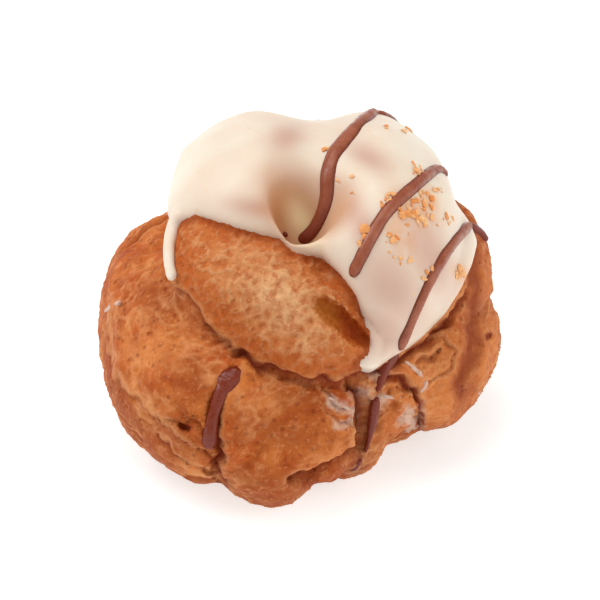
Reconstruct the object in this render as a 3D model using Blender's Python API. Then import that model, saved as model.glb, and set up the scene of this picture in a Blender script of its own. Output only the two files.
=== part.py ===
"""A cream puff: a choux bun that burst open as it baked, under white icing striped with chocolate.

The bun stands on z = 0 and its torn front faces -Y. Lists of centres, radii and route points are written
in millimetres, and MM turns them into metres where they are used.
"""

import math

import bmesh
import bpy
import numpy as np
from mathutils import Euler, Matrix, Vector, noise
from mathutils.bvhtree import BVHTree

MM = 0.001
DEG = math.pi / 180

# What lies on the surface is drawn on sketch planes, as (across, up) from the middle of the puff's foot.
# The front's plane leans back, facing whoever looks down on the puff. The back's does too, turned half way
# round, and the top's lies flat. Each is its side, 1 or -1, and its lean.
SKETCH_LEAN = 36 * DEG
FRONT, BACK, TOP = (1, SKETCH_LEAN), (-1, SKETCH_LEAN), (1, 90 * DEG)

# The lumps of dough that swelled into one another: centre, radii and turn in degrees.
LUMPS = {
    "core": ((0, 3, 15), (25, 25, 17), (0, 0, 0)),
    "left": ((-13.5, 0, 14), (16.5, 27.5, 16), (0, 0, 8)),
    "front": ((-4.2, -15.6, 9), (8.8, 12.6, 9.5), (0, 0, 0)),
    "front_plate": ((-1.2, -15, 11.3), (12, 12, 9), (0, 0, 0)),
    "front_right": ((4.6, -9, 8.6), (9.4, 13, 9), (0, 0, 0)),
    "right_foot": ((12.6, -1.6, 8.5), (7.6, 12.4, 8.3), (0, 0, 0)),
    "right": ((16.4, 3.2, 13), (13.1, 17, 13), (0, 0, 0)),
    "right_wall": ((18, 7, 22), (10.5, 14, 11), (0, 0, 0)),
    "back": ((4, 16, 15), (19, 12, 13.5), (0, 0, 0)),
    "lid_left": ((-6, 6.3, 30), (13, 17.5, 15), (0, 0, 0)),
    "lid_right": ((9.5, 6, 28.5), (13.5, 20, 15.5), (0, 0, 0)),
    "lid_middle": ((1.6, 6.8, 29.2), (9, 18, 13.6), (0, 0, 0)),
    "lid_shoulder": ((-11.7, 0.8, 31.5), (7.3, 8, 8.5), (0, 0, 0)),
    "tongue": ((-4.2, -9.2, 27.6), (17.5, 9.8, 10), (42, 0, -36)),
}
LUMP_ROUNDS = 5
DOUGH_VOXEL = 0.7 * MM
DOUGH_SMOOTHING = 4
# The lid's halves grew into each other, so the valley between them is soft, above and behind these places.
LID_FROM, LID_BLEND = 30 * MM, 6 * MM
LID_BACK_FROM, LID_BACK_BLEND = -10 * MM, 4 * MM
LID_EVENING = 35

# Creases and cracks: sketch plane, route on it, width and depth.
CRACKS = {
    "under_lid": (
        FRONT,
        ((-19.6, 21), (-18, 19.4), (-15.4, 16.8), (-12.4, 12.8), (-7.1, 8.7), (0, 6), (5.6, 5.7),
         (10.1, 7.1), (13.2, 8), (17.6, 10.6), (21.9, 14.6), (24.9, 18.6)),
        1.1, 1.8,
    ),
    "front_cleft": (
        FRONT,
        ((-9.6, 6.8), (-11.4, 4.4), (-12.5, 1.6), (-12.4, -1.4), (-11.8, -4.4), (-12.3, -7), (-11, -9.8)),
        1.2, 2.4,
    ),
    "plate_side": (
        FRONT,
        ((7.2, 5.4), (8.8, 3), (9.3, 0.5), (9.3, -2), (8.9, -3.9), (6.4, -5.9), (3.6, -7.3), (0.6, -8.6),
         (-1, -9)),
        1.1, 1.9,
    ),
    "lobe_side": (FRONT, ((12, 6.4), (15, 5.9), (17.2, 4.4), (17.6, 2), (17.5, -2)), 1.1, 1.5),
    "lobe_flake": (
        FRONT, ((18.6, 11.6), (21, 12), (23, 10.2), (22.4, 7.8), (20.4, 6.2), (18.6, 5.6)), 0.8, 0.8,
    ),
    "left_tear": (FRONT, ((-21.5, 1.2), (-18.5, -1.5), (-15.5, -3.6), (-12.8, -5)), 0.8, 0.9),
    "lower_tear": (FRONT, ((-20.5, -2.2), (-18, -4.8), (-15, -6.6), (-12.2, -7.6)), 0.8, 0.9),
    "foot_gap": (FRONT, ((-18.5, -8.6), (-15, -8.9), (-12, -9.2)), 0.9, 1.4),
    "rim_groove": (FRONT, ((22.8, 32), (25.5, 26), (26.3, 20), (25.6, 11), (23.8, 4)), 1.5, 1.2),
    "back_seam": (
        BACK,
        ((-27, 10), (-24, 12), (-20, 10.5), (-15, 12.5), (-9, 10.8), (-3, 13), (4, 11.4), (10, 13.4),
         (16, 11.8), (21, 14), (26, 12)),
        1.4, 1.4,
    ),
    "back_split_left": (BACK, ((-13, 11), (-14.5, 5), (-12.5, -1), (-14, -6)), 1.5, 2.2),
    "back_split_right": (BACK, ((9, 12), (11, 6), (9.5, 0), (11.5, -7)), 1.5, 2.2),
}
# Hollows pressed into a sketch plane: the plane, their middle on it, half length, half width, turn and depth.
# Last is how gentle their walls are: 0 steep all round, 1 gentle on the side they are turned to, 2 all round.
DENT = (TOP, (5.4, -3.2), 3.8, 3.2, 70, 2.4, 2)
POCKET = (FRONT, (5.8, 14.2), 4.6, 1.9, -45, 3.2, 0)
PIT = (TOP, (0, -3.6), 4.0, 3.8, 50, 8.5, 1)
# The icing lines the pit, so the dough's own pit is this much wider all round.
PIT_LINING = 0.9

SWELL_SIZE, SWELL_HEIGHT = 9 * MM, 0.8 * MM
CRAG_SIZE, CRAG_HEIGHT = 3.2 * MM, 0.45 * MM
# The crust is smooth this close to the icing.
SMOOTH_MARGIN = 1.5 * MM

# The icing's front edge on the sketch plane, from the drip on the left round to where it passes out of sight.
ICING_EDGE = (
    (-22.5, 29.5), (-20.8, 27.2), (-19.9, 25), (-19.5, 23), (-19, 21.4), (-18.3, 20.3), (-17.5, 20.6),
    (-17.4, 22.2), (-17.6, 25), (-17.5, 28.2), (-16.7, 29.8), (-14.6, 30.2), (-8.9, 28.3), (-2.8, 26.7),
    (-0.3, 24.5), (2.7, 24), (5.7, 21), (8.3, 17.1), (10, 12.8), (10.4, 10), (8.4, 8.2), (10.4, 7.4),
    (12.6, 8.9), (14.8, 10.2), (17.8, 12.3), (21.2, 15.8), (23.4, 19.2), (25.1, 22.7), (26, 26.1),
    (24.7, 29.1), (22.5, 32.2), (21.7, 35.6), (20.6, 37.8), (19.6, 41),
)
BEYOND_EDGE = ((35, 50), (35, 70), (-35, 70), (-35, 31))
# Round the back, the icing's edge as bearings from the back (right positive) and heights.
ICING_BACK_MIDDLE = (2, 8)
ICING_BACK_EDGE = (
    (-180, 28.5), (-112, 27), (-104, 28), (-98, 31), (-80, 33.5), (-62, 31.5), (-48, 28), (-40, 28),
    (-28, 32.5), (-8, 34), (8, 31.5), (18, 27.5), (25, 27.5), (38, 33.5), (52, 35.8), (64, 35.5), (74, 32.5),
    (84, 29.5), (92, 27.5), (180, 27),
)
# Bearings between which the back's edge holds, and those where it has given way to the front's.
BACK_BEARINGS, BACK_HOLDS = (-113, -105, 84, 92), (0, 1, 1, 0)
# How far the surface may turn from the front before the back's edge takes over: from 1, flat to it, to -1.
FRONT_ENDS, FRONT_BLEND = -0.35, 0.3
MOST_DEPTH = 6 * MM
OUT_OF_REACH = 100 * MM

ICING_GAP = 0.42 * MM
ICING_THICK = 1.3 * MM
ICING_RIM = 0.9 * MM
ICING_LEVELLING = 14
ICING_POOL = 0.5 * MM
# Past its edge the icing's outer face dives into the dough, this steeply and this deep.
DIVE_SLOPE, DIVE_DEPTH = 2.5, 4 * MM

# Chocolate stripes: sketch plane, route on it, and full width.
STRIPES = {
    "first": (FRONT, ((11.6, 45.6), (10.3, 45.3), (7.1, 41.9), (4.7, 38.9), (3.9, 35.4), (4.1, 32.9),
                      (3, 29.4), (1.1, 26.6), (0, 26.5)), 2.2),
    "second": (FRONT, ((21.6, 36), (20.9, 37.6), (19.2, 36.5), (16, 33.7), (12.7, 30.8), (10.8, 27.8),
                       (8.9, 24), (7.6, 21.6)), 1.9),
    "third": (FRONT, ((24.2, 28.4), (23.2, 27), (21.3, 24.5), (19.4, 21.5), (17.9, 18.4), (16.8, 15.9),
                      (15.7, 13.2), (15.2, 12)), 1.9),
    "first_behind": (BACK, ((-11.5, 22.5), (-13.6, 19), (-15.5, 14.5), (-16.2, 11)), 1.7),
    "back": (BACK, ((-3, 20.5), (-1, 17), (0.5, 13), (3, 10.5)), 1.7),
    "back_left": (BACK, ((8, 20), (11, 15.5), (12, 12.5)), 1.6),
}
DRIPS = {
    "cleft": (FRONT, ((-9.4, 8), (-11, 6.2), (-12.6, 3.5), (-13.3, 0.2), (-13.6, -3.2)), 1.9),
    "right": (FRONT, ((11.3, 5), (11, 2), (10.6, -1.5), (9.6, -4.6), (8.4, -7)), 1.6),
    "rim": (FRONT, ((26.8, 28.3), (27.6, 26.8)), 1.5),
}
STRIPE_HIGH = 0.7 * MM
STRIPE_DEEP = 0.85 * MM
STRIPE_STEP = 1.6 * MM
STRIPE_SIDES = 8
# How much of the full width a stripe keeps at its two ends.
STRIPE_END = 0.62
# Stripes are dropped onto the surface from this far in front of the sketch plane.
DROP_FROM = 200 * MM

# EXACT leaves slits along the icing's rim, where its two faces run almost together.
THIN_SKIN_SOLVER = "MANIFOLD"

# Triangles of the bun, and of the whole swollen buns that the icing is cut from.
BUN_TRIANGLES = 6700
ICING_TRIANGLES = 9200
UNDER_ICING_TRIANGLES = 5600


def clear_scene():
    for obj in list(bpy.data.objects):
        bpy.data.objects.remove(obj)


def add_object(name, mesh):
    obj = bpy.data.objects.new(name, mesh)
    bpy.context.scene.collection.objects.link(obj)
    return obj


def applied(obj):
    """Applies the object's modifiers."""
    bpy.context.view_layer.update()
    graph = bpy.context.evaluated_depsgraph_get()
    mesh = bpy.data.meshes.new_from_object(obj.evaluated_get(graph))
    obj.modifiers.clear()
    obj.data = mesh
    return obj


def points_of(mesh):
    co = np.empty(len(mesh.vertices) * 3, np.float32)
    mesh.vertices.foreach_get("co", co)
    return co.reshape(-1, 3).astype(float)


def normals_of(mesh):
    normals = np.empty(len(mesh.vertices) * 3, np.float32)
    mesh.vertex_normals.foreach_get("vector", normals)
    return normals.reshape(-1, 3).astype(float)


def edges_of(mesh):
    ends = np.empty(len(mesh.edges) * 2, np.int32)
    mesh.edges.foreach_get("vertices", ends)
    return ends.reshape(-1, 2)


def move_points(mesh, points):
    mesh.vertices.foreach_set("co", points.astype(np.float32).ravel())
    mesh.update()


def sketch_axes(plane):
    """The directions across, up and into a sketch plane."""
    side, lean = plane
    s, c = math.sin(lean), math.cos(lean)
    return np.array(((side, 0, 0), (0, side * s, c), (0, side * c, -s)))


def on_sketch(points, plane):
    return points @ sketch_axes(plane)[:2].T


def facing(normals, plane):
    """1 where the surface lies flat to the sketch plane, 0 where edge on, and below 0 where turned away."""
    return -(normals @ sketch_axes(plane)[2])


def turned_to(mesh, plane):
    """1 wherever the surface is well turned to the sketch plane, falling to 0 where it is edge on."""
    return smooth_step(facing(normals_of(mesh), plane) * 4)


def smooth_step(x):
    x = np.clip(x, 0, 1)
    return x * x * (3 - 2 * x)


def distance_to_route(flat, route):
    """The distance of each flat point from a route of straight runs."""
    nearest = np.full(len(flat), np.inf)
    for start, end in zip(route[:-1], route[1:]):
        run = end - start
        along = np.clip((flat - start) @ run / (run @ run), 0, 1)
        nearest = np.minimum(nearest, np.linalg.norm(flat - start - along[:, None] * run, axis=1))
    return nearest


def inside_outline(flat, outline):
    """Whether each flat point is inside a closed outline, by counting the sides to its right."""
    inside = np.zeros(len(flat), bool)
    for (x0, y0), (x1, y1) in zip(outline, np.roll(outline, -1, axis=0)):
        if y0 != y1:
            level = (flat[:, 1] > y0) != (flat[:, 1] > y1)
            inside ^= level & (flat[:, 0] < x0 + (flat[:, 1] - y0) * (x1 - x0) / (y1 - y0))
    return inside


def spread(mesh, values, rounds):
    """Evens out a value per vertex over its neighbours."""
    a, b = edges_of(mesh).T
    count = np.bincount(a, minlength=len(values)) + np.bincount(b, minlength=len(values))
    for _ in range(rounds):
        total = np.bincount(a, values[b], len(values)) + np.bincount(b, values[a], len(values))
        values = (values + total / count) / 2
    return values


def even_out(mesh, rounds):
    """The points, each drawn towards the middle of its neighbours, round after round."""
    points = points_of(mesh)
    return np.stack([spread(mesh, points[:, k], rounds) for k in range(3)], axis=1)


def soften_lid(mesh):
    """Evens out the valley between the lid's two halves."""
    points = points_of(mesh)
    lid = smooth_step((points[:, 2] - LID_FROM) / LID_BLEND)
    lid *= smooth_step((points[:, 1] - LID_BACK_FROM) / LID_BACK_BLEND)
    move_points(mesh, points + (even_out(mesh, LID_EVENING) - points) * lid[:, None])


def crack(mesh, plane, route, width, depth):
    """Presses a crack in along a route, as a soft V."""
    points, normals = points_of(mesh), normals_of(mesh)
    away = distance_to_route(on_sketch(points, plane), np.array(route) * MM) / (width * MM)
    push = depth * MM * np.exp(-away * away) * turned_to(mesh, plane)
    move_points(mesh, points - normals * push[:, None])


def hollow(mesh, plane, middle, half_length, half_width, turn, depth, gentle, wider=0):
    """Presses an oval hollow straight into its sketch plane."""
    points = points_of(mesh)
    flat = on_sketch(points, plane) - np.array(middle) * MM
    c, s = math.cos(turn * DEG), math.sin(turn * DEG)
    along = (flat @ (c, s)) / ((half_length + wider) * MM)
    beside = (flat @ (-s, c)) / ((half_width + wider) * MM)
    reach = np.maximum(np.hypot(along, beside), 0.01)
    soft = np.clip(gentle * smooth_step((along / reach + 1) / 2) + gentle - 1, 0, 1)
    share = (1 - soft) * np.exp(-(reach**6)) + soft * np.exp(-(reach**2))
    move_points(mesh, points + sketch_axes(plane)[2] * (depth * MM * share * turned_to(mesh, plane))[:, None])


def roughen(mesh, size, height, seed, amount=1):
    """Swells and sinks the surface by smooth noise."""
    points, normals = points_of(mesh), normals_of(mesh)
    offset = Vector((seed, 0, 0))
    swell = np.array([noise.noise(Vector(p / size) + offset) for p in points]) * height * amount
    move_points(mesh, points + normals * swell[:, None])


def remesh(obj, voxel, smoothing):
    grown = obj.modifiers.new("grown_together", "REMESH")
    grown.mode = "VOXEL"
    grown.voxel_size = voxel
    soft = obj.modifiers.new("soft_creases", "SMOOTH")
    soft.factor = 0.5
    soft.iterations = smoothing
    return applied(obj)


def raw_lumps():
    """Every lump of dough in one mesh, still passing through one another."""
    bm = bmesh.new()
    for centre, radii, turn in LUMPS.values():
        turned = Euler([a * DEG for a in turn], "ZYX")
        place = Matrix.LocRotScale(Vector(centre) * MM, turned, Vector(radii) * MM)
        bmesh.ops.create_icosphere(bm, subdivisions=LUMP_ROUNDS, radius=1, matrix=place)
    mesh = bpy.data.meshes.new("choux_bun")
    bm.to_mesh(mesh)
    bm.free()
    return mesh


def icing_depth(mesh):
    """How far inside the icing's edge each vertex lies: below 0 outside it."""
    points = points_of(mesh)
    normals = normals_of(mesh)
    flat = on_sketch(points, FRONT)
    edge = np.array(ICING_EDGE) * MM
    outline = np.concatenate([edge, np.array(BEYOND_EDGE) * MM])
    front = distance_to_route(flat, edge) * np.where(inside_outline(flat, outline), 1, -1)
    x, y = (points[:, :2] - np.array(ICING_BACK_MIDDLE) * MM).T
    bearings = np.arctan2(x, y) / DEG
    back = points[:, 2] - np.interp(bearings, *np.array(ICING_BACK_EDGE).T) * MM
    share = spread(mesh, smooth_step((facing(normals, FRONT) - FRONT_ENDS) / FRONT_BLEND), 4)
    back_free = (1 - np.interp(bearings, BACK_BEARINGS, BACK_HOLDS)) * OUT_OF_REACH
    depth = np.minimum(share * front + (1 - share) * back, back + back_free)
    return spread(mesh, np.clip(depth, -MOST_DEPTH, MOST_DEPTH), 2)


def cut_foot(mesh):
    """Cuts the mesh flat at z = 0 and closes it there."""
    bm = bmesh.new()
    bm.from_mesh(mesh)
    parts = bm.verts[:] + bm.edges[:] + bm.faces[:]
    bmesh.ops.bisect_plane(bm, geom=parts, plane_co=(0, 0, 0), plane_no=(0, 0, 1), clear_inner=True)
    rim = [e for e in bm.edges if e.is_boundary]
    bmesh.ops.holes_fill(bm, edges=rim)
    bmesh.ops.triangulate(bm, faces=bm.faces[:])
    bm.to_mesh(mesh)
    bm.free()


def thin_out(obj, triangles):
    """Decimates the object to about this many triangles."""
    obj.data.calc_loop_triangles()
    fewer = obj.modifiers.new("fewer", "DECIMATE")
    fewer.ratio = min(1, triangles / len(obj.data.loop_triangles))
    fewer.use_collapse_triangulate = True
    return applied(obj)


def keep_largest(obj):
    """Removes every loose piece but the largest."""
    bm = bmesh.new()
    bm.from_mesh(obj.data)
    left = set(bm.verts)
    pieces = []
    while left:
        piece, front = set(), [left.pop()]
        while front:
            vert = front.pop()
            piece.add(vert)
            for edge in vert.link_edges:
                other = edge.other_vert(vert)
                if other in left:
                    left.remove(other)
                    front.append(other)
        pieces.append(piece)
    pieces.sort(key=len)
    bmesh.ops.delete(bm, geom=[v for piece in pieces[:-1] for v in piece], context="VERTS")
    bm.to_mesh(obj.data)
    bm.free()


def union(obj, others, solver="EXACT"):
    """Joins the others onto the object, and removes them."""
    group = bpy.data.collections.new("joined")
    for other in others:
        group.objects.link(other)
    join = obj.modifiers.new("join", "BOOLEAN")
    join.operation = "UNION"
    join.operand_type = "COLLECTION"
    join.collection = group
    join.solver = solver
    applied(obj)
    for other in others:
        bpy.data.objects.remove(other)
    bpy.data.collections.remove(group)


def cut(obj, cutter, solver="EXACT"):
    less = obj.modifiers.new("less", "BOOLEAN")
    less.operation = "DIFFERENCE"
    less.object = cutter
    less.solver = solver
    applied(obj)
    bpy.data.objects.remove(cutter)


def landed_route(tree, plane, route):
    """Route points dropped straight onto a surface from the sketch plane, evenly spaced, with its normals."""
    axes = sketch_axes(plane)
    flat = np.array(route) * MM
    lengths = np.concatenate([[0], np.cumsum(np.linalg.norm(np.diff(flat, axis=0), axis=1))])
    stations = np.linspace(0, lengths[-1], max(3, round(lengths[-1] / STRIPE_STEP) + 1))
    landed = []
    for station in stations:
        across, up = (np.interp(station, lengths, flat[:, k]) for k in (0, 1))
        start = axes[0] * across + axes[1] * up - axes[2] * DROP_FROM
        point, normal, _, _ = tree.ray_cast(Vector(start), Vector(axes[2]))
        if point:
            landed.append((np.array(point), np.array(normal)))
    return landed


def add_stripe(name, tree, plane, route, width):
    """A stripe of chocolate along a route: an oval rope sunk into what it lies on, closed at both ends."""
    landed = landed_route(tree, plane, route)
    points = np.array([p for p, _ in landed])
    normals = np.array([n for _, n in landed])
    for _ in range(2):
        points[1:-1] = (points[:-2] + 2 * points[1:-1] + points[2:]) / 4
        normals[1:-1] = (normals[:-2] + 2 * normals[1:-1] + normals[2:]) / 4
    bm = bmesh.new()
    rings = []
    last = len(points) - 1
    for k, (point, normal) in enumerate(zip(points, normals)):
        ahead = points[min(k + 1, last)] - points[max(k - 1, 0)]
        ahead /= np.linalg.norm(ahead)
        beside = np.cross(ahead, normal)
        beside /= np.linalg.norm(beside)
        high = np.cross(beside, ahead)
        size = STRIPE_END if k in (0, last) else 1
        ring = []
        for turn in np.arange(STRIPE_SIDES) * 2 * math.pi / STRIPE_SIDES:
            rise = math.sin(turn) * (STRIPE_HIGH if math.sin(turn) > 0 else STRIPE_DEEP)
            out = beside * math.cos(turn) * width * MM / 2 + high * rise
            ring.append(bm.verts.new(point + size * out))
        rings.append(ring)
    for ring, following in zip(rings[:-1], rings[1:]):
        for i in range(STRIPE_SIDES):
            j = (i + 1) % STRIPE_SIDES
            bm.faces.new((ring[i], ring[j], following[j], following[i]))
    bm.faces.new(rings[0])
    bm.faces.new(rings[-1])
    bmesh.ops.recalc_face_normals(bm, faces=bm.faces[:])
    bmesh.ops.triangulate(bm, faces=bm.faces[:])
    mesh = bpy.data.meshes.new(name)
    bm.to_mesh(mesh)
    bm.free()
    return add_object(name, mesh)


def make_dough():
    """The dough as it rose, before it cracked: its lumps grown together, with its broad dents."""
    dough = add_object("choux_bun", raw_lumps())
    remesh(dough, DOUGH_VOXEL, DOUGH_SMOOTHING)
    soften_lid(dough.data)
    roughen(dough.data, SWELL_SIZE, SWELL_HEIGHT, 0)
    hollow(dough.data, *DENT)
    hollow(dough.data, *POCKET)
    return dough


def make_icing_outside(dough):
    """The icing's outer face, closed through the dough: rounded off at its edge and thicker in hollows."""
    mesh = dough.data
    points, normals = points_of(mesh), normals_of(mesh)
    depth = icing_depth(mesh)
    pooled = np.clip(((even_out(mesh, ICING_LEVELLING) - points) * normals).sum(axis=1), 0, ICING_POOL)
    rounded = (ICING_THICK + pooled) * (1 - np.exp(-np.maximum(depth, 0) / ICING_RIM))
    thick = np.where(depth > 0, rounded, np.maximum(depth * DIVE_SLOPE, -DIVE_DEPTH))
    icing = add_object("white_icing", mesh.copy())
    move_points(icing.data, points + normals * (ICING_GAP + thick)[:, None])
    hollow(icing.data, *PIT)
    return remesh(icing, DOUGH_VOXEL, 1)


def bake(dough):
    """Cracks the dough, sinks its pit and crags its crust."""
    for plane, route, width, depth in CRACKS.values():
        crack(dough.data, plane, route, width, depth)
    hollow(dough.data, *PIT, wider=PIT_LINING)
    remesh(dough, DOUGH_VOXEL, 1)
    bare = 1 - smooth_step(icing_depth(dough.data) / SMOOTH_MARGIN + 1)
    roughen(dough.data, CRAG_SIZE, CRAG_HEIGHT, 7, bare)


def hollow_out_icing(icing, bun):
    """Cuts the bun, swollen by the gap, out of the icing."""
    under = add_object("under_icing", bun.data.copy())
    move_points(under.data, points_of(under.data) + normals_of(under.data) * ICING_GAP)
    thin_out(icing, ICING_TRIANGLES)
    thin_out(under, UNDER_ICING_TRIANGLES)
    cut(icing, under, THIN_SKIN_SOLVER)
    keep_largest(icing)


def surface_tree(obj):
    bm = bmesh.new()
    bm.from_mesh(obj.data)
    tree = BVHTree.FromBMesh(bm)
    bm.free()
    return tree


def material(name, colour, roughness):
    made = bpy.data.materials.new(name)
    made.use_nodes = True
    shader = made.node_tree.nodes["Principled BSDF"]
    shader.inputs["Base Color"].default_value = (*colour, 1)
    shader.inputs["Roughness"].default_value = roughness
    return made


def main():
    clear_scene()
    bun = make_dough()
    icing = make_icing_outside(bun)
    bake(bun)
    hollow_out_icing(icing, bun)
    thin_out(bun, BUN_TRIANGLES)
    cut_foot(bun.data)
    over_icing, over_bun = surface_tree(icing), surface_tree(bun)
    icing_stripes = [add_stripe(name, over_icing, *stripe) for name, stripe in STRIPES.items()]
    union(icing, icing_stripes, THIN_SKIN_SOLVER)
    union(bun, [add_stripe(name, over_bun, *drip) for name, drip in DRIPS.items()])
    bun.data.materials.append(material("baked_choux", (0.42, 0.16, 0.05), 0.7))
    icing.data.materials.append(material("white_icing", (0.88, 0.78, 0.62), 0.35))


main()
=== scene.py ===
"""A cream puff: a choux bun that burst open as it baked, under white icing striped with milk chocolate."""

import math
import random

import bmesh
import bpy
import numpy as np
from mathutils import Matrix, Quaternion, Vector, noise
from mathutils.bvhtree import BVHTree


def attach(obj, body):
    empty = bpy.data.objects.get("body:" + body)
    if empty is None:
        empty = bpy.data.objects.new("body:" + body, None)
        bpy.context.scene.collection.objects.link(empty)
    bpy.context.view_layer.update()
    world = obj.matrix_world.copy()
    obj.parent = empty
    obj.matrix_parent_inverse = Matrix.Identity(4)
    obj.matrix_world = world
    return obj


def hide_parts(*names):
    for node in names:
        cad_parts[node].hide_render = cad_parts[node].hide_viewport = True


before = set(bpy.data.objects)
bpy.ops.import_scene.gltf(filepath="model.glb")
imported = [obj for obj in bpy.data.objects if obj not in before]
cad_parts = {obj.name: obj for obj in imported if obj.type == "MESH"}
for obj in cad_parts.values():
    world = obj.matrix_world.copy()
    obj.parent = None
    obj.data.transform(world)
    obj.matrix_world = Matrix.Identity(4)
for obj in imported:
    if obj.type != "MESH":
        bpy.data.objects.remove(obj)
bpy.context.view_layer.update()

# The view: a camera that looks down on the bun's torn front, as from a chair at the table.
# A long lens at arm's length keeps the puff's outline nearly flat, as in a product picture.
MM = 0.001
VIEW_HEIGHT = math.radians(36)
VIEW_DISTANCE = 0.9
VIEW_WIDTH = 0.090
VIEW_MIDDLE = Vector((0.0, 0.0104, 0.0143))
SENSOR_WIDTH = 36


def aim(obj, target):
    obj.rotation_euler = (target - obj.location).to_track_quat("-Z", "Y").to_euler()


towards_camera = Vector((0, -math.cos(VIEW_HEIGHT), math.sin(VIEW_HEIGHT)))
bpy.ops.object.camera_add(location=VIEW_MIDDLE + towards_camera * VIEW_DISTANCE)
camera = bpy.context.object
aim(camera, VIEW_MIDDLE)
camera.data.sensor_width = SENSOR_WIDTH
camera.data.lens = SENSOR_WIDTH * VIEW_DISTANCE / VIEW_WIDTH
camera.data.clip_start = 0.05
bpy.context.scene.camera = camera

# The light: one large soft window light from behind on the left, a weaker one in front, and a white room.
# The ground is plain matt white paper that gives off painted light of its own until it is as pale as the
# page, the more so in front of the bun, where this painted light pales the bun's shadow.
LAMPS_AIM = Vector((0, 0, 0.02))


def add_softbox(name, location, width, power, colour):
    bpy.ops.object.light_add(type="AREA", location=location)
    lamp = bpy.context.object
    lamp.name = name
    lamp.data.size = width
    lamp.data.energy = power
    lamp.data.color = colour
    aim(lamp, LAMPS_AIM)


add_softbox("window_light", (-0.40, 0.06, 0.42), 0.30, 1.0, (1.0, 0.985, 0.96))
add_softbox("ceiling_light", (-0.16, 0.12, 0.68), 0.60, 2.6, (1.0, 0.99, 0.975))
add_softbox("front_fill", (0.40, -0.45, 0.40), 0.50, 0.55, (1.0, 0.985, 0.96))
add_softbox("right_card", (0.50, -0.06, 0.16), 0.40, 0.85, (1.0, 0.96, 0.90))

room = bpy.data.worlds.new("white_room")
room.use_nodes = True
room.node_tree.nodes["Background"].inputs["Color"].default_value = (1.0, 0.99, 0.975, 1)
room.node_tree.nodes["Background"].inputs["Strength"].default_value = 0.48
bpy.context.scene.world = room

bpy.ops.mesh.primitive_plane_add(size=6)
ground = bpy.context.object
ground.name = "ground"
paper = bpy.data.materials.new("white_paper")
paper.use_nodes = True
nodes, links = paper.node_tree.nodes, paper.node_tree.links
sheet = nodes["Principled BSDF"]
sheet.inputs["Base Color"].default_value = (0.58, 0.62, 0.65, 1)
sheet.inputs["Roughness"].default_value = 0.9
sheet.inputs["Emission Color"].default_value = (0.94, 0.93, 0.9, 1)
# Painted light: the paper's emission grows towards the front and washes out the shadow there.
from_middle = nodes.new("ShaderNodeSeparateXYZ")
links.new(nodes.new("ShaderNodeTexCoord").outputs["Object"], from_middle.inputs[0])
painted_glow = nodes.new("ShaderNodeMapRange")
links.new(from_middle.outputs["Y"], painted_glow.inputs["Value"])
for label, value in {"From Min": -0.012, "From Max": -0.026, "To Min": 0.66, "To Max": 0.80}.items():
    painted_glow.inputs[label].default_value = value
links.new(painted_glow.outputs["Result"], sheet.inputs["Emission Strength"])
ground.data.materials.append(paper)
bpy.context.scene.view_settings.view_transform = "Standard"

# The choux bun: soft dough that swelled in the oven into lobes, which grew together and split where the crust
# set first. The lid tore away from the lobes at the front and shows its pale inside.
# Lumps are centre, radii and turn. What lies on the surface is drawn on sketch planes, as (across, up) from
# the middle of the foot, in millimetres: the front's leans back by the camera's height, the back's too, and
# the top's lies flat.
FRONT, BACK, TOP = (1, VIEW_HEIGHT), (-1, VIEW_HEIGHT), (1, math.pi / 2)
LUMPS = {
    "core": ((0, 3, 15), (25, 25, 17)),
    "left": ((-13.5, 0, 14), (16.5, 27.5, 16), (0, 0, 8)),
    "front": ((-4.7, -15.6, 9), (9.2, 12.6, 9.5)),
    "front_plate": ((-1.2, -15, 11.3), (12, 12, 9)),
    "front_right": ((4.6, -9, 8.6), (9.4, 13, 9)),
    "right_foot": ((12.6, -1.6, 8.5), (7.6, 12.4, 8.3)),
    "right": ((16.4, 3.2, 13), (13.1, 17, 13)),
    "right_wall": ((18, 7, 22), (10.5, 14, 11)),
    "back": ((4, 16, 15), (19, 12, 13.5)),
    "lid_left": ((-6, 6.3, 30), (13, 17.5, 15)),
    "lid_right": ((9.5, 6, 28.5), (13.5, 20, 15.5)),
    "lid_middle": ((1.6, 6.8, 29.2), (9, 18, 13.6)),
    "lid_shoulder": ((-11.7, 0.8, 31.5), (7.3, 8, 8.5)),
    "tongue": ((-4.2, -9.2, 27.6), (17.5, 9.8, 10), (42, 0, -36)),
}
DOUGH_VOXEL = 0.38 * MM


def add_modifier(obj, kind, **settings):
    modifier = obj.modifiers.new(kind.lower(), kind)
    for key, value in settings.items():
        setattr(modifier, key, value)
    return modifier


def select_only(*chosen):
    """Selects these and no others. The first is the active one."""
    bpy.ops.object.select_all(action="DESELECT")
    for obj in chosen:
        obj.select_set(True)
    bpy.context.view_layer.objects.active = chosen[0]


def apply_modifiers(obj):
    select_only(obj)
    for modifier in list(obj.modifiers):
        bpy.ops.object.modifier_apply(modifier=modifier.name)


def add_lump(centre, radii, turn=(0, 0, 0)):
    bpy.ops.mesh.primitive_ico_sphere_add(subdivisions=6, radius=1)
    lump = bpy.context.object
    lump.location = Vector(centre) * MM
    lump.scale = Vector(radii) * MM
    lump.rotation_mode = "ZYX"
    lump.rotation_euler = [math.radians(a) for a in turn]
    return lump


def join_pieces(name, pieces):
    select_only(*pieces)
    bpy.ops.object.transform_apply(location=True, rotation=True, scale=True)
    bpy.ops.object.join()
    joined = bpy.context.object
    joined.name = name
    joined.data.name = name
    return joined


bun = join_pieces("baked_bun", [add_lump(*lump) for lump in LUMPS.values()])
add_modifier(bun, "REMESH", mode="VOXEL", voxel_size=DOUGH_VOXEL)
add_modifier(bun, "SMOOTH", factor=0.5, iterations=9)
apply_modifiers(bun)


# Relief in the crust: creases, splits with a raised lip on one side, hollows and swellings.
# Each presses or lifts the surface along its own normal, and is noted in a mask for the colours: painted
# shade in the cracks and small hollows, and a painted highlight along the raised lips.
def points_of(mesh):
    co = np.empty(len(mesh.vertices) * 3, np.float32)
    mesh.vertices.foreach_get("co", co)
    return co.reshape(-1, 3).astype(float)


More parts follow.
